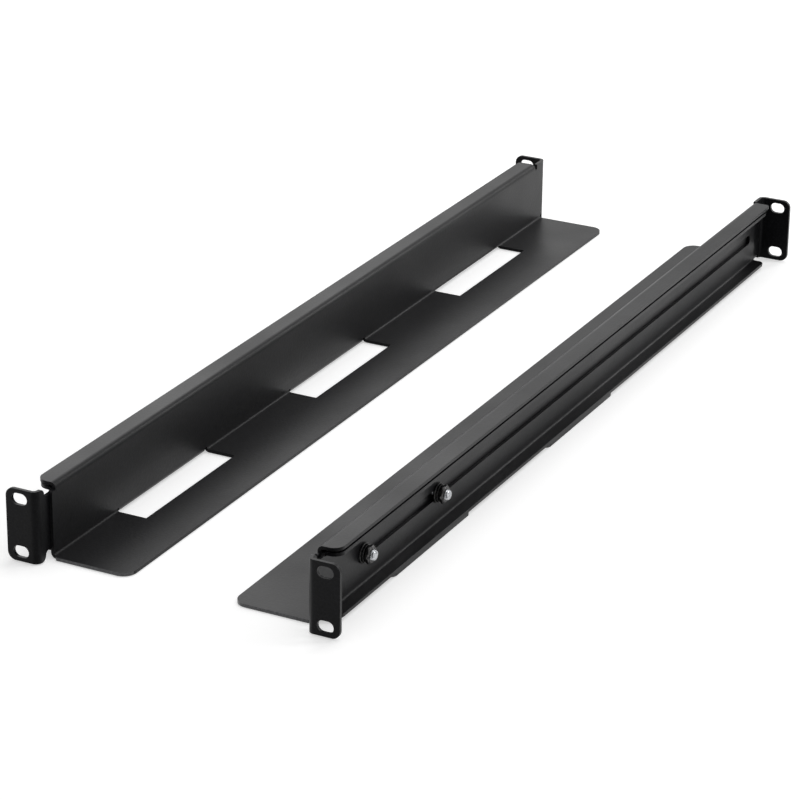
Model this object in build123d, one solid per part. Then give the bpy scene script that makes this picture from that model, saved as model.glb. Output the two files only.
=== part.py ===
from build123d import *
import os

# Pair of adjustable rack mounting rails, in millimetres.
#
# Each rail is drawn in coordinates of its own: x = 0 is the outer face of the shelf rail's web and x grows
# towards the shelf, y = 0 is the front face of the front ear and y grows towards the rear ear, z = 0 is the
# underside of the shelf. The right rail is the mirror image of the left one.

# Sheet steel
sheet = 2.0
bend_radius = 1.5  # inside of the long bends
ear_bend_radius = 2.0  # inside of the bends to the ears
nest_gap = 0.2  # between the shelf rail and the channel that slides on it

# Overall sizes
rail_height = 44.4
web_distance = 168.0  # between the outer faces of the two webs, as the pair stands

# Shelf rail
shelf_width = 51.5
shelf_front = 10.5
shelf_length = 635.0
shelf_corner = 8.0
web_setback = 1.8  # of the web's front edge behind that of the shelf
web_corner = 1.5
lip_reach = 11.0
lip_front_setback = 5.5  # from the front end of the shelf
lip_rear_setback = 10.0  # from the rear end of the shelf
lip_front_corner = 6.5
lip_rear_corner = 2.8
lip_relief = 2.5  # gap between the rear end of the lip and the strip of the rear ear
lip_relief_depth = 4.0

# Windows along the shelf and the tabs that are bent out of the first ones
window_count = 3
window_pitch = 200.0
window_length = 100.0
window_width = 19.2
tab_count = 2
tab_reach = 10.3
tab_corner = 4.0
tab_slit = 2.0

# Extension channel
flange_reach = 10.5
channel_length = 615.5  # without the strip and the ear
flange_front_corner = 6.5
flange_rear_corner = 4.0
lip_gap = 0.9  # between the upper flange and the lip above it
slot_rear_margin = 8.0
slot_clearance = 0.3

# Ears
ear_height = 43.6
ear_reach = 20.2
ear_corner = 5.0
ear_slot_inset = 8.8  # from the outer edge of the ear
ear_slot_length = 10.0
ear_slot_width = 7.0
ear_slot_spacing = 31.75
strip_width = 7.8  # front face of the front ear to the relief notches
strip_corner = 3.5
front_relief_width = 8.7
front_relief_depth = 5.7
front_relief_corner = 2.4
rear_relief_width = 2.0
rear_relief_depth = 4.0
rear_relief_corner = 0.9

# Studs, nuts and washers
stud_diameter = 6.0
stud_front = 60.0
stud_pitch = 88.9
stud_tip_chamfer = 0.6
stud_proud = 0.8  # beyond the nut
head_diameter = 8.2
head_height = 1.2
washer_diameter = 12.0
washer_thickness = 1.2
washer_clearance = 0.2
lock_washer_diameter = 11.0
lock_washer_thickness = 1.4
lock_washer_split = 0.9
lock_washer_slant = 20.0
nut_width = 10.0
nut_height = 5.0
nut_chamfer = 0.5
thread_clearance = 0.05

# Places that follow from these sizes
past = 5.0  # how far a cutting tool runs past what it cuts
outer_bend = bend_radius + sheet
half_sheet = sheet / 2
lip_middle = rail_height - half_sheet
web_front = shelf_front + web_setback
web_top = rail_height - lip_relief_depth
shelf_rear = shelf_front + shelf_length
rail_length = shelf_rear + rear_relief_width + ear_bend_radius + sheet
lip_front = shelf_front + lip_front_setback
lip_rear = shelf_rear - lip_rear_setback
channel_front = strip_width + front_relief_width
channel_rear = channel_front + channel_length
slot_rear = channel_rear - slot_rear_margin
slot_front = stud_front - stud_diameter / 2 - slot_clearance
window_first = shelf_front + (shelf_length - (window_count - 1) * window_pitch - window_length) / 2
window_edge = sheet + window_width
channel_face = -nest_gap - sheet
channel_middle = -nest_gap - half_sheet
channel_bottom = sheet + nest_gap
channel_top = rail_height - sheet - lip_gap
stud_height = rail_height / 2
ear_bottom = (rail_height - ear_height) / 2
ear_top = ear_bottom + ear_height
stud_places = {"front": stud_front, "rear": stud_front + stud_pitch}
washer_face = channel_face - washer_thickness
lock_washer_face = washer_face - lock_washer_thickness
nut_face = lock_washer_face - nut_height


def block(x, y, z):
    """Box between two limits along each axis."""
    size = [high - low for low, high in (x, y, z)]
    middle = [(high + low) / 2 for low, high in (x, y, z)]
    return Pos(*middle) * Box(*size)


def long_strip(corners, start, end):
    """Sheet bent along Y. The corners are those of its middle line, in X and Z."""
    middle_line = FilletPolyline(*corners, radius=bend_radius + half_sheet)
    section = Plane.XZ.offset(-start) * trace(middle_line, line_width=sheet)
    return extrude(section, amount=end - start, dir=(0, 1, 0))


def upright_strip(corners, bottom, top):
    """Sheet bent about an upright line. The corners are those of its middle line, in X and Y."""
    middle_line = FilletPolyline(*corners, radius=ear_bend_radius + half_sheet)
    section = Pos(0, 0, bottom) * trace(middle_line, line_width=sheet)
    return extrude(section, amount=top - bottom, dir=(0, 0, 1))


def rounded(piece, direction, radius, *tests):
    """Piece with the edges along a direction rounded where their middles pass every test."""
    edges = piece.edges().filter_by(direction)
    for axis, place in tests:
        edges = edges.filter_by(lambda edge: abs(getattr(edge.center(), axis) - place) < half_sheet + 0.01)
    return fillet(edges, radius)


def relief(front, rear, closed_end, open_end, corner):
    """Notch through the webs between two places along Y, with round corners at its closed end."""
    notch = block((channel_face - past, sheet + past), (front, rear), sorted((closed_end, open_end)))
    return rounded(notch, Axis.X, corner, ("Z", closed_end))


def ear_slots(face_middle):
    """Two round-ended slots through an ear whose sheet is centred on a place along Y."""
    slots = []
    for side in (-1, 1):
        place = (-ear_reach + ear_slot_inset, face_middle, stud_height + side * ear_slot_spacing / 2)
        shape = Pos(*place) * (Plane.XZ * SlotOverall(ear_slot_length, ear_slot_width))
        slots.append(extrude(shape, amount=sheet, both=True))
    return slots


def window(index):
    """Cut through the shelf that ends half way round the bend to the web."""
    front = window_first + index * window_pitch
    outline = Polyline(
        (outer_bend, outer_bend), (-past, -past), (window_edge, -past), (window_edge, outer_bend), close=True
    )
    section = Plane.XZ.offset(-front) * make_face(outline)
    cut = extrude(section, amount=window_length, dir=(0, 1, 0))
    if index < tab_count:
        cut += block((-past, outer_bend), (front, front + window_length), (-past, outer_bend))
    return cut


def tab(index):
    """Tongue cut free from the window and bent outwards under the web."""
    front = window_first + index * window_pitch + tab_slit
    rear = front + window_length - 2 * tab_slit
    corners = [(half_sheet, 2 * outer_bend), (half_sheet, half_sheet), (-tab_reach, half_sheet)]
    tongue = long_strip(corners, front, rear)
    return rounded(tongue, Axis.Z, tab_corner, ("X", -tab_reach))


def lip():
    """Upper edge of the web with the lip that is bent outwards over the channel."""
    corners = [(half_sheet, web_top), (half_sheet, lip_middle), (-lip_reach, lip_middle)]
    strip = long_strip(corners, lip_front, lip_rear)
    strip = rounded(strip, Axis.Z, lip_front_corner, ("X", -lip_reach), ("Y", lip_front))
    return rounded(strip, Axis.Z, lip_rear_corner, ("X", -lip_reach), ("Y", lip_rear))


def rear_ear():
    """Ear bent outwards at the rear of the shelf rail, with the strip of web that carries it."""
    middle = rail_length - half_sheet
    strip_front = lip_rear + lip_relief
    corners = [(half_sheet, strip_front), (half_sheet, middle), (-ear_reach, middle)]
    ear = upright_strip(corners, ear_bottom, ear_top)
    ear = rounded(ear, Axis.Y, ear_corner, ("X", -ear_reach))
    ear -= ear_slots(middle)
    ear -= block((-past, sheet + past), (strip_front - past, shelf_rear), (-past, web_top))
    notch_rear = shelf_rear + rear_relief_width
    return ear - relief(shelf_rear, notch_rear, rear_relief_depth, -past, rear_relief_corner)


def shelf_rail():
    """Web with the shelf along its foot, the lip along its top and the rear ear."""
    corners = [(half_sheet, web_top), (half_sheet, half_sheet), (shelf_width, half_sheet)]
    rail = long_strip(corners, shelf_front, shelf_rear)
    rail = rounded(rail, Axis.Z, shelf_corner, ("X", shelf_width))
    rail -= block((-past, outer_bend), (shelf_front - past, web_front), (-past, rail_height))
    rail = rounded(rail, Axis.Z, web_corner, ("X", outer_bend), ("Y", shelf_front))
    rail = rounded(rail, Axis.X, web_corner, ("Y", web_front), ("Z", web_top))
    rail -= [window(index) for index in range(window_count)]
    rail += [tab(index) for index in range(tab_count)]
    rail += [lip(), rear_ear()]
    for place in stud_places.values():
        across = Pos(0, place, stud_height) * Rot(0, 90, 0)
        rail -= across * Cylinder(stud_diameter / 2, 2 * (sheet + past))
        rail -= Pos(sheet - head_height / 2, 0, 0) * across * Cylinder(head_diameter / 2, head_height)
    return rail


def extension_channel():
    """Channel that slides along the web, with a long slot for the studs and the front ear."""
    low = channel_bottom + half_sheet
    high = channel_top - half_sheet
    corners = [(-flange_reach, low), (channel_middle, low), (channel_middle, high), (-flange_reach, high)]
    channel = long_strip(corners, channel_front, channel_rear)
    channel = rounded(channel, Axis.Z, flange_front_corner, ("X", -flange_reach), ("Y", channel_front))
    channel = rounded(channel, Axis.Z, flange_rear_corner, ("X", -flange_reach), ("Y", channel_rear))

    corners = [(-ear_reach, half_sheet), (channel_middle, half_sheet), (channel_middle, channel_front)]
    ear = upright_strip(corners, ear_bottom, ear_top)
    ear = rounded(ear, Axis.Y, ear_corner, ("X", -ear_reach))
    ear -= ear_slots(half_sheet)
    for level, end in ((front_relief_depth, -past), (rail_height - front_relief_depth, rail_height + past)):
        ear -= relief(strip_width, channel_front, level, end, front_relief_corner)
    ear = rounded(ear, Axis.X, strip_corner, ("X", channel_middle), ("Y", strip_width), ("Z", ear_bottom))
    ear = rounded(ear, Axis.X, strip_corner, ("X", channel_middle), ("Y", strip_width), ("Z", ear_top))

    slot_place = Pos(0, (slot_front + slot_rear) / 2, stud_height)
    slot_shape = SlotOverall(slot_rear - slot_front, stud_diameter + 2 * slot_clearance)
    slot = extrude(slot_place * (Plane.YZ * slot_shape), amount=sheet + past, both=True)
    return channel + ear - slot


def turned(radius, near, far, place):
    """Cylinder about a stud's axis between two places along X."""
    return Pos((near + far) / 2, place, stud_height) * Rot(0, 90, 0) * Cylinder(radius, abs(far - near))


def stud(place):
    """Flush-head stud, pressed into the web from the shelf side."""
    tip = nut_face - stud_proud
    shank = turned(stud_diameter / 2, sheet, tip, place)
    shank = chamfer(shank.edges().group_by(Axis.X)[0], stud_tip_chamfer)
    return shank + turned(head_diameter / 2, sheet, sheet - head_height, place)


def flat_washer(place):
    """Plain washer against the channel."""
    bore = turned(stud_diameter / 2 + washer_clearance, channel_face + past, washer_face - past, place)
    return turned(washer_diameter / 2, channel_face, washer_face, place) - bore


def lock_washer(place):
    """Split spring washer between the plain washer and the nut."""
    ring = turned(lock_washer_diameter / 2, washer_face, lock_washer_face, place)
    ring -= turned(stud_diameter / 2 + washer_clearance, washer_face + past, lock_washer_face - past, place)
    middle = Pos((washer_face + lock_washer_face) / 2, place, stud_height + lock_washer_diameter / 2)
    split = Box(2 * lock_washer_thickness + past, lock_washer_split, lock_washer_diameter)
    return ring - middle * Rot(0, 0, lock_washer_slant) * split


def hex_nut(place):
    """Six-sided nut with a corner upwards and its outer rim chamfered."""
    outline = RegularPolygon(nut_width / 2, 6, major_radius=False, rotation=90)
    flats = extrude(Pos(nut_face, place, stud_height) * (Plane.YZ * outline), amount=nut_height)
    corner_radius = flats.bounding_box().size.Z / 2
    rims = turned(corner_radius, lock_washer_face, nut_face, place)
    rims = chamfer(rims.edges().group_by(Axis.X)[0], nut_chamfer)
    bore = turned(stud_diameter / 2 + thread_clearance, lock_washer_face + past, nut_face - past, place)
    return (flats & rims) - bore


def left_rail():
    """Every piece of the left rail by name."""
    pieces = {"shelf_rail": shelf_rail(), "extension_channel": extension_channel()}
    for end, place in stud_places.items():
        pieces[end + "_stud"] = stud(place)
        pieces[end + "_flat_washer"] = flat_washer(place)
        pieces[end + "_lock_washer"] = lock_washer(place)
        pieces[end + "_hex_nut"] = hex_nut(place)
    return pieces


os.makedirs("parts", exist_ok=True)
to_middle = Pos(-web_distance / 2, -rail_length / 2, 0)
for name, piece in left_rail().items():
    left = to_middle * piece
    export_step(left, f"parts/left_{name}.step")
    export_step(mirror(left, about=Plane.YZ), f"parts/right_{name}.step")
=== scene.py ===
import math
from itertools import product

import bmesh
import bpy
import numpy as np
from bpy.props import FloatProperty, FloatVectorProperty, IntProperty, PointerProperty
from bpy.types import Operator, Panel, PropertyGroup
from mathutils import Matrix, Vector


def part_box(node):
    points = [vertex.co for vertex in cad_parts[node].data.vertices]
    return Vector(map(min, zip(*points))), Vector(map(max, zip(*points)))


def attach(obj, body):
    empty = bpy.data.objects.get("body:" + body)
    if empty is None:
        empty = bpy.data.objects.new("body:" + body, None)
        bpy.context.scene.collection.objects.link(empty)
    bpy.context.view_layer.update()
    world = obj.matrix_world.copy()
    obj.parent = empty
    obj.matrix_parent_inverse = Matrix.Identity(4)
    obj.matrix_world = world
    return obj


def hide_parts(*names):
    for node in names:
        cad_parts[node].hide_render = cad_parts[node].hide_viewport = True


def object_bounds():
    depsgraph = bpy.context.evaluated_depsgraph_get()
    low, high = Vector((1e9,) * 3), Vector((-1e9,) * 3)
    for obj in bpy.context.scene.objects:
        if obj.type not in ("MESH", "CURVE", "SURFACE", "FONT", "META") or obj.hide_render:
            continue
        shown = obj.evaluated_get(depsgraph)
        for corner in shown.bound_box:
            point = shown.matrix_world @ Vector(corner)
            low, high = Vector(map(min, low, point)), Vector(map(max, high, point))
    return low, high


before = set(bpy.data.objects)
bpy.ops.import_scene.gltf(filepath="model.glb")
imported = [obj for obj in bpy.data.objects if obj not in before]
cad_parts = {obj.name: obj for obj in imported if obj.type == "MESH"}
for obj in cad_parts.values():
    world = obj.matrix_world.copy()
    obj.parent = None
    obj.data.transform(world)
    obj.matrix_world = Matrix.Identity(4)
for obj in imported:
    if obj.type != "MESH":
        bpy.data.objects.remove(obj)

bl_info = {
    "name": "Rack mounting rails",
    "version": (1, 0, 0),
    "blender": (4, 5, 0),
    "location": "View3D > Sidebar > Rails",
    "description": "Finishes a pair of adjustable rack rails: coated sheet steel, studs, nuts and washers",
    "category": "Object",
}

CAD_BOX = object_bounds()
MM = 0.001
SIDES = ("left", "right")
ENDS = ("front", "rear")
SHEET_NODES = ("shelf_rail", "extension_channel")

# Sizes that the solids have too
SHEET = 2.0 * MM
STUD_RADIUS = 3.0 * MM
HEAD_RADIUS, HEAD_HEIGHT = 4.1 * MM, 1.2 * MM
WASHER_BORE = 3.2 * MM
FLAT_WASHER_RADIUS, LOCK_WASHER_RADIUS = 6.0 * MM, 5.5 * MM
NUT_HALF_WIDTH = 5.0 * MM

# sRGB colours of the finishes. The mirror colours tint what a coat mirrors face on: the sprayed coat is dull
# there and grey only at a flat angle, and the rubbed edges mirror fully.
POWDER_BLACK = "#0d0d0e"
POWDER_GREY = "#18181a"
# The next two greys, for the sheared edges, are lighter partly because the coat is thin and rubbed there and
# partly as a painted highlight.
POWDER_EDGE_AND_HIGHLIGHT = "#2e2e30"
POWDER_WORN_AND_HIGHLIGHT = "#5c5c5e"
COAT_MIRROR = "#4d4d4d"
EDGE_MIRROR = "#ffffff"
ZINC_BRIGHT = "#cdcfd2"
ZINC_SHADE = "#85878a"
OXIDE_BLACK = "#19191b"
OXIDE_WORN = "#727170"
FLOOR_WHITE = "#dcdcdc"

# Light: the world's strength on the object, what the floor adds to its own light where it is seen, and the
# soft boxes with their place, side in metres and power in watts
WORLD_LIGHT = 0.4
FLOOR_LIFT = 0.48
SOFT_BOXES = (
    ("overhead_soft_box", (0.1, 0.2, 1.8), 1.8, 15.0),
    ("right_soft_box", (1.9, 1.1, 1.2), 0.6, 10.0),
    ("rear_soft_box", (-0.9, 1.2, 1.0), 0.8, 3.0),
    ("bend_light", (0.6, 1.35, 0.7), 0.4, 3.0),
)


def linear(value):
    """Linear red, green, blue and alpha of an sRGB hex colour."""
    parts = [int(value[place:place + 2], 16) / 255 for place in (1, 3, 5)]
    parts = [part / 12.92 if part <= 0.04045 else ((part + 0.055) / 1.055) ** 2.4 for part in parts]
    return (*parts, 1.0)


# Sizes and colours that a user may change


class FinishSettings(PropertyGroup):
    edge_radius: FloatProperty(
        name="Edge radius", description="Rounding that the coat leaves on the sheared edges",
        default=0.35 * MM, min=0.05 * MM, max=0.8 * MM, subtype="DISTANCE", unit="LENGTH")
    coat_colour: FloatVectorProperty(
        name="Powder coat", description="Colour of the coated steel", default=linear(POWDER_BLACK),
        size=4, min=0, max=1, subtype="COLOR")
    coat_roughness: FloatProperty(
        name="Coat roughness", description="Roughness of the satin powder coat", default=0.4, min=0, max=1,
        subtype="FACTOR")
    edge_roughness: FloatProperty(
        name="Edge roughness", description="Roughness of the rubbed edges", default=0.28, min=0, max=1,
        subtype="FACTOR")
    lip_shadow: FloatProperty(
        name="Shadow gap", description="How much wider the gap under the lip is drawn", default=0.4 * MM,
        min=0, max=0.6 * MM, subtype="DISTANCE", unit="LENGTH")
    grain: FloatProperty(
        name="Coat grain", description="Size of the grains in the coat", default=1.5 * MM, min=0.2 * MM,
        max=4 * MM, subtype="DISTANCE", unit="LENGTH")


class FastenerSettings(PropertyGroup):
    thread_pitch: FloatProperty(
        name="Thread pitch", description="Advance of the thread in one turn", default=1.0 * MM,
        min=0.5 * MM, max=2 * MM, subtype="DISTANCE", unit="LENGTH")
    thread_depth: FloatProperty(
        name="Thread depth", description="Depth of the thread's groove", default=0.54 * MM, min=0.1 * MM,
        max=1 * MM, subtype="DISTANCE", unit="LENGTH")
    nut_height: FloatProperty(
        name="Nut height", description="Height of the nuts as drawn, from the lock washer outwards",
        default=3.2 * MM, min=2 * MM, max=5 * MM, subtype="DISTANCE", unit="LENGTH")
    stud_proud: FloatProperty(
        name="Stud end", description="How far the studs reach beyond the nuts", default=2.1 * MM,
        min=0.5 * MM, max=2.5 * MM, subtype="DISTANCE", unit="LENGTH")
    steps_round: IntProperty(
        name="Steps round", description="Faces round a stud, nut or washer", default=96, min=24, max=240)
    edge_radius: FloatProperty(
        name="Rim radius", description="Rounding of the rims of nuts and washers", default=0.12 * MM,
        min=0.02 * MM, max=0.4 * MM, subtype="DISTANCE", unit="LENGTH")


class StageSettings(PropertyGroup):
    azimuth: FloatProperty(
        name="Azimuth", description="Angle of the camera round the rails", default=math.radians(27.16),
        subtype="ANGLE", unit="ROTATION")
    elevation: FloatProperty(
        name="Elevation", description="Angle of the camera above the floor", default=math.radians(22.96),
        subtype="ANGLE", unit="ROTATION")
    roll: FloatProperty(
        name="Roll", description="Turn of the camera about its own axis", default=math.radians(0.62),
        subtype="ANGLE", unit="ROTATION")
    distance: FloatProperty(
        name="Distance", description="Camera to the point that it looks at", default=1.9248,
        subtype="DISTANCE", unit="LENGTH")
    target: FloatVectorProperty(
        name="Target", description="Point that the camera looks at", default=(0.0042, -0.06465, 0.0204),
        size=3, subtype="XYZ", unit="LENGTH")
    lens: FloatProperty(
        name="Lens", description="Focal length on a 36 mm wide sensor", default=143.6, min=20, max=400,
        unit="CAMERA")


# Helpers for meshes


def new_piece(name, mesh, body, slot, material, *nodes):
    """Object for a finished mesh that rides on a body, takes a material slot and stands for CAD nodes. The
    slot argument is not used.
    """
    piece = bpy.data.objects.new(name, mesh)
    bpy.context.scene.collection.objects.link(piece)
    mesh.materials.append(material)
    if nodes:
        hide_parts(*nodes)
    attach(piece, body)
    return piece


def grid_mesh(name, points, close_u=False, close_v=True, caps=False):
    """Mesh from an array of points [u, v, 3]; each cell of the grid is a face.

    The grid can be joined end to end in either direction, and caps close its first and last rows with a
    fan of faces about the mean of the row.
    """
    rows, columns, _ = points.shape
    vertices = points.reshape(-1, 3)
    index = np.arange(rows * columns).reshape(rows, columns)
    if close_v:
        index = np.concatenate([index, index[:, :1]], axis=1)
    if close_u:
        index = np.concatenate([index, index[:1]], axis=0)
    quads = np.stack([index[:-1, :-1], index[:-1, 1:], index[1:, 1:], index[1:, :-1]], axis=-1)
    faces = quads.reshape(-1, 4).tolist()
    if caps:
        vertices = np.concatenate([vertices, points[:1].mean(axis=1), points[-1:].mean(axis=1)])
        first, last = rows * columns, rows * columns + 1
        faces += [(first, b, a) for a, b in zip(index[0, :-1].tolist(), index[0, 1:].tolist())]
        faces += [(last, a, b) for a, b in zip(index[-1, :-1].tolist(), index[-1, 1:].tolist())]
    mesh = bpy.data.meshes.new(name)
    mesh.from_pydata(vertices.tolist(), [], faces)
    face_outwards(mesh)
    return mesh


def face_outwards(mesh):
    """Recalculates the normals of a closed mesh so that all of them point outwards."""
    same_place = 0.0001 * MM
    work = bmesh.new()
    work.from_mesh(mesh)
    bmesh.ops.remove_doubles(work, verts=work.verts, dist=same_place)
    bmesh.ops.recalc_face_normals(work, faces=work.faces)
    work.to_mesh(mesh)
    work.free()


def shade_smooth(piece, degrees):
    """Smooth shading up to an angle between faces, kept as sharp edges in the mesh."""
    mesh = piece.data
    mesh.polygons.foreach_set("use_smooth", np.ones(len(mesh.polygons), bool))
    mesh.set_sharp_from_angle(angle=math.radians(degrees))


def soften_edges(piece, width, segments, degrees):
    """Bevel on every edge that is sharper than an angle."""
    bevel = piece.modifiers.new("soft_edges", "BEVEL")
    bevel.width = width
    bevel.segments = segments
    bevel.limit_method = "ANGLE"
    bevel.angle_limit = math.radians(degrees)
    bevel.harden_normals = True
    bevel.use_clamp_overlap = True
    return bevel


# Helpers for materials


def add_node(owner, kind, settings=None, links=None):
    """Node of a kind in a material or world, with its properties or inputs set and its inputs linked."""
    node = owner.node_tree.nodes.new(kind)
    for name, value in (settings or {}).items():
        if isinstance(name, str) and hasattr(node, name):
            setattr(node, name, value)
        else:
            node.inputs[name].default_value = value
    for name, socket in (links or {}).items():
        owner.node_tree.links.new(socket, node.inputs[name])
    return node


def emptied(owner):
    """Material or world with an empty node tree."""
    owner.use_nodes = True
    owner.node_tree.nodes.clear()
    return owner


def seen_directly(owner):
    """Socket that is 1 for what the camera sees, in metal and glass too, and 0 for light on things."""
    paths = add_node(owner, "ShaderNodeLightPath").outputs
    seen = add_node(owner, "ShaderNodeMath", {"operation": "MAXIMUM"},
                    {0: paths["Is Camera Ray"], 1: paths["Is Glossy Ray"]})
    seen = add_node(owner, "ShaderNodeMath", {"operation": "MAXIMUM"},
                    {0: seen.outputs[0], 1: paths["Is Transmission Ray"]})
    return seen.outputs[0]


def powder_coat(settings, name, black, grey, mirror, roughness):
    """Satin black polyester powder coat on steel, sprayed and baked.

    The powder flows into a fine orange peel. The coat looks grey where it mirrors the studio at a flat
    angle, and nearly black face on. The peel's grains are some 0.5 mm wide and are drawn three times as
    coarse, to show. The gloss varies a little from one hand's width to the next, as the thickness does.
    """
    gloss_patch, peel_depth = 60 * MM, 0.12 * MM
    smoother, rougher = roughness - 0.03, roughness + 0.05
    material = emptied(bpy.data.materials.new(name))
    place = add_node(material, "ShaderNodeTexCoord").outputs["Object"]
    peel = add_node(material, "ShaderNodeTexNoise",
                    {"Scale": 1 / settings.grain, "Detail": 3.0, "Roughness": 0.6}, {"Vector": place})
    cloud = add_node(material, "ShaderNodeTexNoise",
                     {"Scale": 1 / gloss_patch, "Detail": 2.0, "Roughness": 0.5}, {"Vector": place})
    share = add_node(material, "ShaderNodeMapRange", {"From Min": 0.35, "From Max": 0.75},
                     {"Value": peel.outputs["Fac"]})
    colour = add_node(material, "ShaderNodeMix",
                      {"data_type": "RGBA", 6: black, 7: grey},
                      {0: share.outputs["Result"]})
    rough = add_node(material, "ShaderNodeMapRange",
                     {"From Min": 0.3, "From Max": 0.7, "To Min": smoother, "To Max": rougher},
                     {"Value": cloud.outputs["Fac"]})
    bump = add_node(material, "ShaderNodeBump", {"Strength": 0.5, "Distance": peel_depth},
                    {"Height": peel.outputs["Fac"]})
    shader = add_node(material, "ShaderNodeBsdfPrincipled",
                      {"IOR": 1.5, "Specular Tint": linear(mirror)},
                      {"Base Color": colour.outputs[2], "Roughness": rough.outputs["Result"],
                       "Normal": bump.outputs["Normal"]})
    add_node(material, "ShaderNodeOutputMaterial", links={"Surface": shader.outputs["BSDF"]})
    return material


def zinc_plate():
    """Bright zinc-plated steel, rolled threads, plated and passivated: silvery with a slightly milky bloom.

    The bloom's crystals are far finer than a pixel, and its clouds are drawn 1.2 mm wide, to show.
    """
    cloud_width, cloud_depth = 1.2 * MM, 0.08 * MM
    bright, milky = 0.14, 0.3
    material = emptied(bpy.data.materials.new("zinc_plated_steel"))
    place = add_node(material, "ShaderNodeTexCoord").outputs["Object"]
    bloom = add_node(material, "ShaderNodeTexNoise",
                     {"Scale": 1 / cloud_width, "Detail": 4.0, "Roughness": 0.6}, {"Vector": place})
    share = add_node(material, "ShaderNodeMapRange", {"From Min": 0.35, "From Max": 0.65},
                     {"Value": bloom.outputs["Fac"]})
    colour = add_node(material, "ShaderNodeMix",
                      {"data_type": "RGBA", 6: linear(ZINC_SHADE), 7: linear(ZINC_BRIGHT)},
                      {0: share.outputs["Result"]})
    rough = add_node(material, "ShaderNodeMapRange",
                     {"From Min": 0.3, "From Max": 0.7, "To Min": bright, "To Max": milky},
                     {"Value": bloom.outputs["Fac"]})
    bump = add_node(material, "ShaderNodeBump", {"Strength": 0.6, "Distance": cloud_depth},
                    {"Height": bloom.outputs["Fac"]})
    shader = add_node(material, "ShaderNodeBsdfPrincipled", {"Metallic": 1.0},
                      {"Base Color": colour.outputs[2], "Roughness": rough.outputs["Result"],
                       "Normal": bump.outputs["Normal"]})
    add_node(material, "ShaderNodeOutputMaterial", links={"Surface": shader.outputs["BSDF"]})
    return material


def black_oxide():
    """Blackened and oiled steel of nuts and washers: dark metal, a little brighter where it has rubbed.

    The oxide's own grain is far finer than a pixel, and its rubbed patches are drawn 0.8 mm wide, to show.
    """
    patch_width, patch_depth = 0.8 * MM, 0.02 * MM
    material = emptied(bpy.data.materials.new("black_oxide_steel"))
    place = add_node(material, "ShaderNodeTexCoord").outputs["Object"]
    bloom = add_node(material, "ShaderNodeTexNoise",
                     {"Scale": 1 / patch_width, "Detail": 4.0, "Roughness": 0.65}, {"Vector": place})
    share = add_node(material, "ShaderNodeMapRange", {"From Min": 0.4, "From Max": 0.85},
                     {"Value": bloom.outputs["Fac"]})
    colour = add_node(material, "ShaderNodeMix",
                      {"data_type": "RGBA", 6: linear(OXIDE_BLACK), 7: linear(OXIDE_WORN)},
                      {0: share.outputs["Result"]})
    bump = add_node(material, "ShaderNodeBump", {"Strength": 0.2, "Distance": patch_depth},
                    {"Height": bloom.outputs["Fac"]})
    shader = add_node(material, "ShaderNodeBsdfPrincipled", {"Metallic": 0.85, "Roughness": 0.36},
                      {"Base Color": colour.outputs[2], "Normal": bump.outputs["Normal"]})
    add_node(material, "ShaderNodeOutputMaterial", links={"Surface": shader.outputs["BSDF"]})
    return material


def white_floor():
    """Matt white studio floor: it takes the shadow, and shows white to the eye and in reflections."""
    material = emptied(bpy.data.materials.new("matt_white_floor"))
    lift = add_node(material, "ShaderNodeMath", {"operation": "MULTIPLY", 1: FLOOR_LIFT},
                    {0: seen_directly(material)})
    matt = add_node(material, "ShaderNodeBsdfDiffuse", {"Color": linear(FLOOR_WHITE)})
    glow = add_node(material, "ShaderNodeEmission", {"Color": (1, 1, 1, 1)}, {"Strength": lift.outputs[0]})
    both = add_node(material, "ShaderNodeAddShader", links={0: matt.outputs[0], 1: glow.outputs[0]})
    add_node(material, "ShaderNodeOutputMaterial", links={"Surface": both.outputs[0]})
    return material


def once(name, make, *arguments):
    """Material of a name, made on first use."""
    return bpy.data.materials.get(name) or make(*arguments)


def coat_of(settings):
    """Powder coat of the flat sheets, shared by all of them."""
    name = "powder_coated_steel"
    return once(name, powder_coat, settings, name, tuple(settings.coat_colour), linear(POWDER_GREY),
                COAT_MIRROR, settings.coat_roughness)


def edge_coat_and_highlight_of(settings):
    """Powder coat of the sheared edges, in lighter grey: partly because the coat drew thinner there when it
    was baked and has been rubbed, and partly as a painted highlight where the edges catch the light.
    """
    name = "powder_coated_edges_and_highlight"
    return once(name, powder_coat, settings, name, linear(POWDER_EDGE_AND_HIGHLIGHT), linear(POWDER_WORN_AND_HIGHLIGHT), EDGE_MIRROR,
                settings.edge_roughness)


# Where the fasteners are, read from the CAD nodes


def fastener(side, end, kind):
    """Axis place, outward direction and the ends along X of a fastener's node.

    Returns the centre in Y and Z, the sign of X that points away from the web, the place along X of the
    face towards the web and that of the outer face.
    """
    low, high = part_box(f"{side}_{end}_{kind}")
    sign = -1 if side == "left" else 1
    inner, outer = (high[0], low[0]) if sign < 0 else (low[0], high[0])
    return (low[1] + high[1]) / 2, (low[2] + high[2]) / 2, sign, inner, outer


def round_x(radius, along, angle, centre_y, centre_z):
    """Points about an axis along X: y = radius cos angle, z = radius sin angle, moved to the axis."""
    radius, along, angle = np.broadcast_arrays(radius, along, angle)
    return np.stack([along, centre_y + radius * np.cos(angle), centre_z + radius * np.sin(angle)], axis=-1)


def angles(steps):
    """Row of evenly spaced angles round a full turn."""
    return np.linspace(0, 2 * np.pi, steps, endpoint=False)[None, :]


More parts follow.
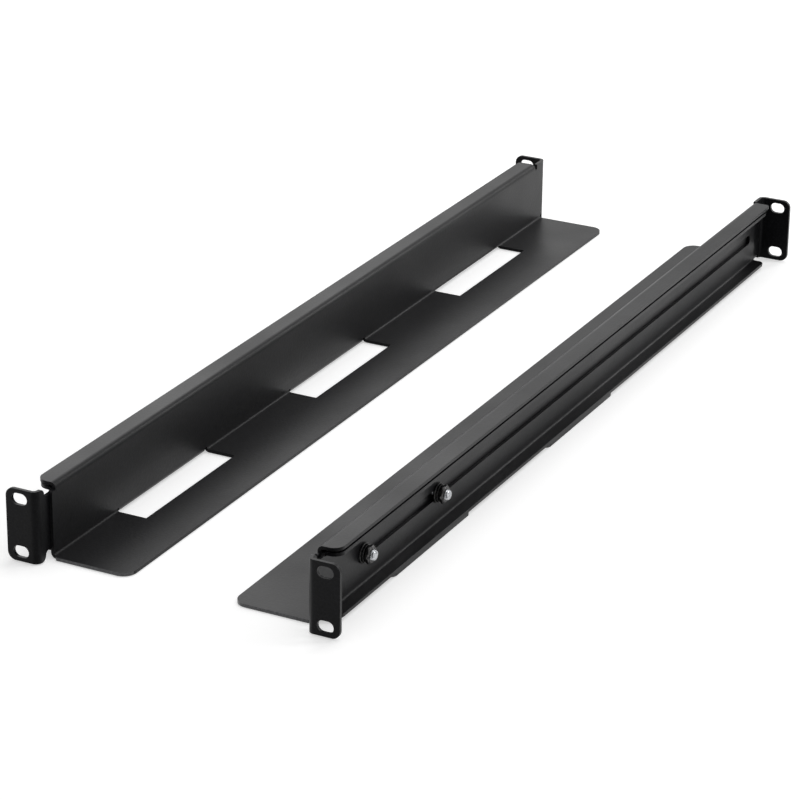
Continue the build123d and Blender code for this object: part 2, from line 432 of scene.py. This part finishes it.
def stud_surface(centre_y, centre_z, sign, head_face, tip, steps, pitch, depth):
    """Stud with a rolled thread.

    The radius is the smaller of the outline's and the thread's. The thread's is the stud's radius less depth
    times groove, where the groove is a triangle wave of x / pitch minus angle / one turn, cut flat at crest
    and root and faded out towards the plain shank. The outline is head, shank and a domed tip: there the
    radius is that of the dome's flat middle plus a quarter ellipse over the dome's height. X counts outwards
    on both rails and the angle always turns from Y to Z, so the left rail's thread is the mirror image of
    the right rail's, which is right-handed.
    """
    dome, middle, pole = 0.9 * MM, 1.2 * MM, 0.02 * MM
    thread_from, steps_a_pitch = 2.2 * MM, 14
    groove_gain, crest = 1.25, 0.12
    length = abs(tip - head_face)
    body_steps = int((length - thread_from) / pitch * steps_a_pitch)
    head = [0, 0, HEAD_HEIGHT, HEAD_HEIGHT]
    along = np.concatenate([head, np.linspace(thread_from, length, body_steps)])
    depth_in_dome = np.clip(1 - (length - along[len(head):]) / dome, 0, 1)
    outline = np.concatenate([[pole, HEAD_RADIUS, HEAD_RADIUS, STUD_RADIUS],
                              middle + (STUD_RADIUS - middle) * np.sqrt(1 - depth_in_dome ** 2)])
    fade = np.clip((along - thread_from) / pitch, 0, 1)
    angle = angles(steps)
    phase = np.mod(along[:, None] / pitch - angle / (2 * np.pi), 1)
    groove = np.clip(groove_gain * (1 - np.abs(2 * phase - 1)) - crest, 0, 1)
    thread = STUD_RADIUS - depth * fade[:, None] * groove
    surface = np.minimum(outline[:, None], np.where(along[:, None] >= thread_from, thread, outline[:, None]))
    return round_x(surface, head_face + sign * along[:, None], angle, centre_y, centre_z)


def nut_surface(centre_y, centre_z, inner, outer, steps):
    """Hexagon nut with a flat upwards and a corner to the front and to the rear.

    The side is at half the width over the cosine of the angle from the nearest flat's middle. Both rims
    are cut by a 45 degree cone, so the cut runs as far along the side as the side stands out past the rim.
    The bore is countersunk.
    """
    bore, sink, rim = 2.72 * MM, 0.5 * MM, 4.3 * MM
    angle = angles(steps)
    from_flat = np.mod(angle, np.pi / 3) - np.pi / 6
    side = NUT_HALF_WIDTH / np.cos(from_flat)
    cut = side - rim
    way = 1 if outer > inner else -1
    flat = np.ones_like(angle)
    radius = [bore * flat, (bore + sink) * flat, rim * flat, side, side, rim * flat, (bore + sink) * flat,
              bore * flat]
    along = [inner + way * sink * flat, inner * flat, inner * flat, inner + way * cut, outer - way * cut,
             outer * flat, outer * flat, outer - way * sink * flat]
    return round_x(np.concatenate(radius), np.concatenate(along), angle, centre_y, centre_z)


def washer_surface(centre_y, centre_z, inner, outer, radius, rounding, steps):
    """Ring whose section is a rectangle with rounded corners, turned about the stud's axis."""
    turn = np.linspace(0, np.pi / 2, 4)
    half_wall, half_height = (radius - WASHER_BORE) / 2, abs(outer - inner) / 2
    section = []
    for corner, (out, up) in enumerate(((1, 1), (-1, 1), (-1, -1), (1, -1))):
        bend = turn + corner * np.pi / 2
        section.append(np.stack([out * (half_wall - rounding) + rounding * np.cos(bend),
                                 up * (half_height - rounding) + rounding * np.sin(bend)], axis=-1))
    section = np.concatenate(section)[:, None, :]
    middle = (WASHER_BORE + radius) / 2
    return round_x(middle + section[..., 0], (inner + outer) / 2 + section[..., 1], angles(steps),
                   centre_y, centre_z)


def split_ring_surface(centre_y, centre_z, inner, outer, steps):
    """Spring washer: a rounded rectangle carried round a turn less a gap, with its cut ends slanted.

    The angle of each point of the section is shifted with its place along X, which slants the ends. The gap
    and the slant are in radians.
    """
    rounding, gap, slant, any_steps = 0.14 * MM, 0.1, 0.12, 4
    ring = washer_surface(0, 0, inner, outer, LOCK_WASHER_RADIUS, rounding, any_steps)[:, 0]
    distance, along = ring[:, 1], ring[:, 0]
    around = np.linspace(gap / 2, 2 * np.pi - gap / 2, steps)[:, None] + np.pi / 2
    share = (along - (inner + outer) / 2) / (outer - inner)
    return round_x(distance[None, :], along[None, :], around + slant * share[None, :], centre_y, centre_z)


# Operators


class RAILS_OT_coated_sheets(Operator):
    """Shelf rails and channels with the rounded edges and the finish of the powder coat"""

    bl_idname = "rails.coated_sheets"
    bl_label = "Coated sheets"

    def execute(self, context):
        settings = context.scene.rail_finish
        coat, edge_and_highlight_coat = coat_of(settings), edge_coat_and_highlight_of(settings)
        for side, kind in product(SIDES, SHEET_NODES):
            node = f"{side}_{kind}"
            body = "shelf_rails" if kind == "shelf_rail" else f"{side}_channel"
            mesh = merged_copy(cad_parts[node], f"{node}_coated")
            if kind == "extension_channel":
                open_gap(mesh, settings.lip_shadow)
            piece = new_piece(f"{node}_coated", mesh, body, "black_powder_coat", coat, node)
            mesh.materials.append(edge_and_highlight_coat)
            # The shelf's front cut faces take the edge coat as a painted highlight.
            mark_front_edge_highlights(mesh)
            # The bevel faces take the edge coat, whose lighter grey is partly a painted highlight.
            soften_edges(piece, settings.edge_radius, 3, 40).material = 1
            shade_smooth(piece, 35)
        return {"FINISHED"}


def merged_copy(source, name):
    """Copy of a CAD node's mesh with its triangles joined and its flat faces made whole."""
    same_place, still_flat = 0.002 * MM, math.radians(0.3)
    work = bmesh.new()
    work.from_mesh(source.data)
    bmesh.ops.remove_doubles(work, verts=work.verts, dist=same_place)
    bmesh.ops.dissolve_limit(work, angle_limit=still_flat, verts=work.verts, edges=work.edges,
                             use_dissolve_boundaries=False)
    mesh = bpy.data.meshes.new(name)
    work.to_mesh(mesh)
    work.free()
    return mesh


def mark_front_edge_highlights(mesh):
    """Gives the second material, the lighter edge coat, to the cut faces of the shelf that look to the
    front: a painted highlight where they catch the light.

    Such a face is turned at least a little to the front, as most of the shelf's round corner is, and no
    point of it is higher than the sheet's thickness and a tenth.
    """
    to_front, shelf_top = -0.3, SHEET * 1.1
    work = bmesh.new()
    work.from_mesh(mesh)
    for face in work.faces:
        if face.normal.y < to_front and max(vertex.co.z for vertex in face.verts) < shelf_top:
            face.material_index = 1
    work.to_mesh(mesh)
    work.free()


def open_gap(mesh, drop):
    """Lowers the channel's upper flange by a drop and carries its edge out to the edge of the lip.

    Points above the bend and behind the front ear go down by the drop. Those past the bend also go
    outwards, in proportion to their distance from it. The bend's height is from the underside of the shelf,
    the places outwards are from the middle of the pair, and the ear's rear end is from the ear's front face.
    """
    bend_height, ear_rear = 37.9 * MM, 16.3 * MM
    bend_out, edge_out, lip_out = 87.7 * MM, 94.5 * MM, 95.0 * MM
    points = np.zeros(3 * len(mesh.vertices))
    mesh.vertices.foreach_get("co", points)
    points = points.reshape(-1, 3)
    out = np.abs(points[:, 0])
    flange = (points[:, 2] > bend_height) & (points[:, 1] > CAD_BOX[0][1] + ear_rear)
    stretch = 1 + (lip_out - edge_out) / (edge_out - bend_out)
    wider = np.where(out > bend_out, bend_out + (out - bend_out) * stretch, out)
    points[:, 0] = np.where(flange, np.sign(points[:, 0]) * wider, points[:, 0])
    points[:, 2] -= drop * flange
    mesh.vertices.foreach_set("co", points.ravel())
    mesh.update()


class RAILS_OT_studs(Operator):
    """Threaded studs with flush heads"""

    bl_idname = "rails.studs"
    bl_label = "Studs"

    def execute(self, context):
        settings = context.scene.rail_fasteners
        zinc = once("zinc_plated_steel", zinc_plate)
        coat = coat_of(context.scene.rail_finish)
        for side, end in product(SIDES, ENDS):
            node = f"{side}_{end}_stud"
            centre_y, centre_z, sign, head, _ = fastener(side, end, "stud")
            seat = fastener(side, end, "hex_nut")[3]
            tip = seat + sign * (settings.nut_height + settings.stud_proud)
            points = stud_surface(centre_y, centre_z, sign, head, tip, settings.steps_round,
                                  settings.thread_pitch, settings.thread_depth)
            mesh = grid_mesh(f"{node}_threaded", points, caps=True)
            piece = new_piece(f"{node}_threaded", mesh, "shelf_rails", "zinc_plate", zinc, node)
            mesh.materials.append(coat)
            coat_head(mesh, head)
            shade_smooth(piece, 50)
        return {"FINISHED"}


def coat_head(mesh, head):
    """Gives the second material to the faces of a stud's head, which is coated with the shelf rail."""
    coated = HEAD_HEIGHT + 0.1 * MM
    centres = np.zeros(3 * len(mesh.polygons))
    mesh.polygons.foreach_get("center", centres)
    near = np.abs(centres[0::3] - head) < coated
    mesh.polygons.foreach_set("material_index", near.astype(np.int32))


class RAILS_OT_nuts(Operator):
    """Hexagon nuts with chamfered rims and countersunk bores"""

    bl_idname = "rails.nuts"
    bl_label = "Nuts"

    def execute(self, context):
        settings = context.scene.rail_fasteners
        oxide = once("black_oxide_steel", black_oxide)
        for side, end in product(SIDES, ENDS):
            node = f"{side}_{end}_hex_nut"
            centre_y, centre_z, sign, inner, _ = fastener(side, end, "hex_nut")
            outer = inner + sign * settings.nut_height
            points = nut_surface(centre_y, centre_z, inner, outer, settings.steps_round)
            mesh = grid_mesh(f"{node}_chamfered", points, close_u=True)
            piece = new_piece(f"{node}_chamfered", mesh, f"{side}_{end}_nut", "black_oxide", oxide, node)
            soften_edges(piece, settings.edge_radius, 2, 25)
            shade_smooth(piece, 25)
        return {"FINISHED"}


class RAILS_OT_flat_washers(Operator):
    """Plain washers with rounded rims"""

    bl_idname = "rails.flat_washers"
    bl_label = "Flat washers"

    def execute(self, context):
        settings = context.scene.rail_fasteners
        oxide = once("black_oxide_steel", black_oxide)
        rounding = 0.25 * MM
        for side, end in product(SIDES, ENDS):
            node = f"{side}_{end}_flat_washer"
            centre_y, centre_z, _, inner, outer = fastener(side, end, "flat_washer")
            points = washer_surface(centre_y, centre_z, inner, outer, FLAT_WASHER_RADIUS, rounding,
                                    settings.steps_round)
            mesh = grid_mesh(f"{node}_rounded", points, close_u=True)
            piece = new_piece(f"{node}_rounded", mesh, "shelf_rails", "black_oxide", oxide, node)
            shade_smooth(piece, 60)
        return {"FINISHED"}


class RAILS_OT_lock_washers(Operator):
    """Split spring washers under the nuts"""

    bl_idname = "rails.lock_washers"
    bl_label = "Lock washers"

    def execute(self, context):
        settings = context.scene.rail_fasteners
        oxide = once("black_oxide_steel", black_oxide)
        for side, end in product(SIDES, ENDS):
            node = f"{side}_{end}_lock_washer"
            centre_y, centre_z, _, inner, outer = fastener(side, end, "lock_washer")
            points = split_ring_surface(centre_y, centre_z, inner, outer, settings.steps_round)
            mesh = grid_mesh(f"{node}_split", points, caps=True)
            piece = new_piece(f"{node}_split", mesh, f"{side}_{end}_lock_washer", "black_oxide", oxide, node)
            shade_smooth(piece, 50)
        return {"FINISHED"}


class RAILS_OT_stage(Operator):
    """White floor, soft studio light and the camera"""

    bl_idname = "rails.stage"
    bl_label = "Stage"

    def execute(self, context):
        make_floor()
        make_world(context.scene)
        make_lamps()
        make_camera(context.scene)
        return {"FINISHED"}


def make_floor():
    """Round floor: a disc far larger than the rails, just under them."""
    radius, drop, steps = 6.0, 0.4 * MM, 96
    angle = angles(steps)[0]
    rim = np.stack([radius * np.cos(angle), radius * np.sin(angle), np.full(steps, -drop)], axis=-1)
    mesh = bpy.data.meshes.new("floor")
    mesh.from_pydata(rim.tolist(), [], [list(range(steps))])
    floor = bpy.data.objects.new("floor", mesh)
    bpy.context.scene.collection.objects.link(floor)
    mesh.materials.append(once("matt_white_floor", white_floor))


def make_world(scene):
    """Even pale surroundings: white to the eye and in reflections, weaker as light."""
    world = emptied(bpy.data.worlds.new("pale_studio"))
    level = add_node(world, "ShaderNodeMapRange", {"To Min": WORLD_LIGHT, "To Max": 1.0},
                     {"Value": seen_directly(world)})
    back = add_node(world, "ShaderNodeBackground", {"Color": (1, 1, 1, 1)},
                    {"Strength": level.outputs["Result"]})
    add_node(world, "ShaderNodeOutputWorld", links={"Surface": back.outputs[0]})
    scene.world = world


def make_lamps():
    """Soft boxes: a large one overhead, weaker ones right and behind, and one that the bends mirror."""
    for name, place, size, power in SOFT_BOXES:
        light = bpy.data.lights.new(name, "AREA")
        light.shape = "SQUARE"
        light.size = size
        light.energy = power
        lamp = bpy.data.objects.new(name, light)
        bpy.context.scene.collection.objects.link(lamp)
        lamp.location = place
        lamp.rotation_euler = Vector(place).to_track_quat("Z", "Y").to_euler()


def make_camera(scene):
    """Camera at a distance from its target, turned by azimuth, elevation and roll."""
    settings = scene.rail_stage
    data = bpy.data.cameras.new("camera")
    data.lens = settings.lens
    data.sensor_width = 36.0
    data.clip_end = 50.0
    camera = bpy.data.objects.new("camera", data)
    scene.collection.objects.link(camera)
    turn = (Matrix.Rotation(settings.azimuth, 4, "Z")
            @ Matrix.Rotation(math.pi / 2 - settings.elevation, 4, "X")
            @ Matrix.Rotation(settings.roll, 4, "Z"))
    back = (turn @ Vector((0, 0, 1, 0))).to_3d()
    camera.matrix_world = Matrix.Translation(Vector(settings.target) + settings.distance * back) @ turn
    scene.camera = camera
    scene.view_settings.view_transform = "Standard"


class RAILS_PT_panel(Panel):
    """Sidebar panel that lists the pieces and the stage"""

    bl_idname = "RAILS_PT_panel"
    bl_label = "Rack mounting rails"
    bl_space_type = "VIEW_3D"
    bl_region_type = "UI"
    bl_category = "Rails"

    def draw(self, context):
        layout = self.layout
        scene = context.scene
        for group in (scene.rail_finish, scene.rail_fasteners, scene.rail_stage):
            box = layout.box()
            for name in group.__annotations__:
                box.prop(group, name)
        for operator in OPERATORS:
            layout.operator(operator.bl_idname)


OPERATORS = (RAILS_OT_coated_sheets, RAILS_OT_studs, RAILS_OT_nuts, RAILS_OT_flat_washers,
             RAILS_OT_lock_washers, RAILS_OT_stage)
GROUPS = {"rail_finish": FinishSettings, "rail_fasteners": FastenerSettings, "rail_stage": StageSettings}


def register():
    for made in (*GROUPS.values(), *OPERATORS, RAILS_PT_panel):
        bpy.utils.register_class(made)
    for name, group in GROUPS.items():
        setattr(bpy.types.Scene, name, PointerProperty(type=group))


def unregister():
    for name in GROUPS:
        delattr(bpy.types.Scene, name)
    for made in (RAILS_PT_panel, *reversed(OPERATORS), *reversed(GROUPS.values())):
        bpy.utils.unregister_class(made)


def main():
    register()
    bpy.ops.rails.coated_sheets()
    bpy.ops.rails.studs()
    bpy.ops.rails.nuts()
    bpy.ops.rails.flat_washers()
    bpy.ops.rails.lock_washers()
    bpy.ops.rails.stage()


if __name__ == "__main__":
    main()
